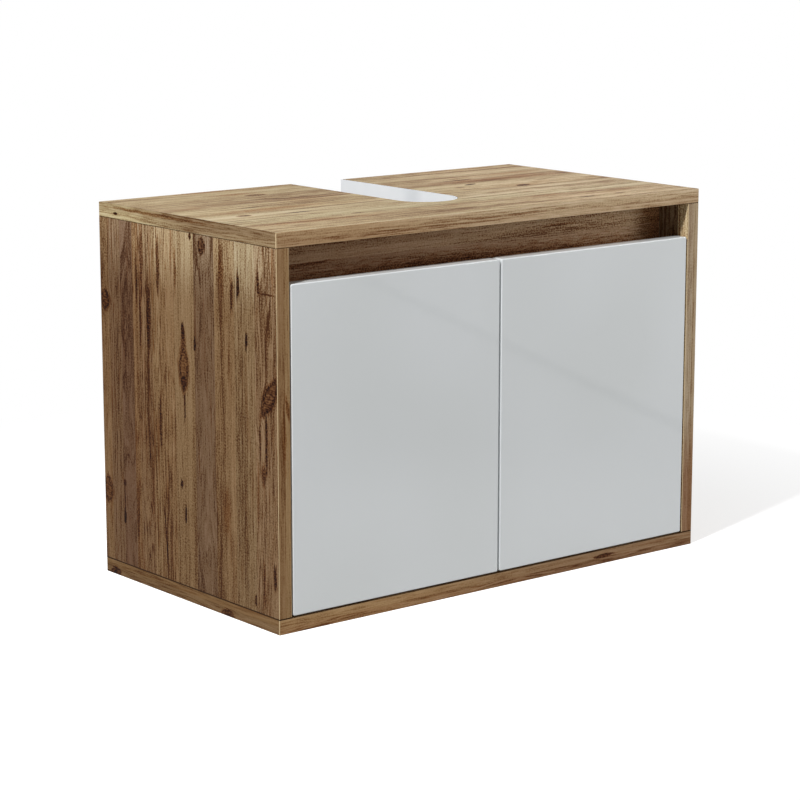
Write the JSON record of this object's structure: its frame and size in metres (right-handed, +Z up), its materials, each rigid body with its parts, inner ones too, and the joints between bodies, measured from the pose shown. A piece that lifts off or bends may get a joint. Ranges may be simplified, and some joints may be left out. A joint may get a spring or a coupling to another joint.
{
  "type": "sink base cabinet",
  "caption": "Wall-hung washbasin base cabinet with a waste cut-out open to the back, wood-decor boards, a recessed grip rail and two inset gloss doors on concealed hinges.",
  "frame": {"origin": "middle of the underside of the cabinet", "axes": "+X to the right seen from the front, +Y from the doors to the wall, +Z up"},
  "size_m": [0.6, 0.33, 0.42],
  "materials": {
    "wood_decor_board": "melamine-faced board, oak decor, satin",
    "wood_decor_edging": "wood-decor edge strip, satin",
    "white_edging": "white edge strip",
    "white_gloss_front": "white high gloss",
    "nickel_plated_steel": "nickel plated",
    "zinc_plated_steel": "bright zinc plated",
    "zinc_alloy": "die-cast zinc alloy",
    "beech": "plain beech dowel",
    "white_plastic": "moulded, fine grain",
    "clear_plastic": "translucent"
  },
  "bodies": {
    "carcass": {"arm_screws_left_lower": "zinc_plated_steel", "arm_screws_left_upper": "zinc_plated_steel", "arm_screws_right_lower": "zinc_plated_steel", "arm_screws_right_upper": "zinc_plated_steel", "back_rail": "wood_decor_board", "bottom_front_edging": "wood_decor_edging", "bottom_left_edging": "wood_decor_edging", "bottom_panel": "wood_decor_board", "bottom_right_edging": "wood_decor_edging", "cam_bolts_left": "zinc_plated_steel", "cam_bolts_right": "zinc_plated_steel", "cams_left": "zinc_alloy", "cams_right": "zinc_alloy", "cutout_edging": "white_edging", "door_stop_left": "clear_plastic", "door_stop_right": "clear_plastic", "dowels_left": "beech", "dowels_right": "beech", "grip_rail": "wood_decor_board", "hanger_hook_left": "zinc_plated_steel", "hanger_hook_right": "zinc_plated_steel", "hanger_housing_left": "white_plastic", "hanger_housing_right": "white_plastic", "hanger_screws_left": "zinc_plated_steel", "hanger_screws_right": "zinc_plated_steel", "hinge_arm_left_lower": "nickel_plated_steel", "hinge_arm_left_upper": "nickel_plated_steel", "hinge_arm_right_lower": "nickel_plated_steel", "hinge_arm_right_upper": "nickel_plated_steel", "hinge_plate_left_lower": "nickel_plated_steel", "hinge_plate_left_upper": "nickel_plated_steel", "hinge_plate_right_lower": "nickel_plated_steel", "hinge_plate_right_upper": "nickel_plated_steel", "plate_screws_left_lower": "zinc_plated_steel", "plate_screws_left_upper": "zinc_plated_steel", "plate_screws_right_lower": "zinc_plated_steel", "plate_screws_right_upper": "zinc_plated_steel", "side_left_front_edging": "wood_decor_edging", "side_panel_left": "wood_decor_board", "side_panel_right": "wood_decor_board", "side_right_front_edging": "wood_decor_edging", "top_front_edging": "wood_decor_edging", "top_left_edging": "wood_decor_edging", "top_panel": "wood_decor_board", "top_right_edging": "wood_decor_edging"},
    "door_left": {"cup_screws_left_lower": "zinc_plated_steel", "cup_screws_left_upper": "zinc_plated_steel", "door_left": "white_gloss_front", "hinge_cup_left_lower": "nickel_plated_steel", "hinge_cup_left_upper": "nickel_plated_steel", "hinge_pin_left_lower": "nickel_plated_steel", "hinge_pin_left_upper": "nickel_plated_steel"},
    "door_right": {"cup_screws_right_lower": "zinc_plated_steel", "cup_screws_right_upper": "zinc_plated_steel", "door_right": "white_gloss_front", "hinge_cup_right_lower": "nickel_plated_steel", "hinge_cup_right_upper": "nickel_plated_steel", "hinge_pin_right_lower": "nickel_plated_steel", "hinge_pin_right_upper": "nickel_plated_steel"}
  },
  "joints": [
    {"name": "door_left_hinge", "type": "hinge", "parent": "carcass", "child": "door_left", "pos_m": [-0.254, -0.156, 0.1918], "axis": [0, 0, -1], "range_deg": [0, 95]},
    {"name": "door_right_hinge", "type": "hinge", "parent": "carcass", "child": "door_right", "pos_m": [0.254, -0.156, 0.1918], "axis": [0, 0, 1], "range_deg": [0, 95]}
  ]
}
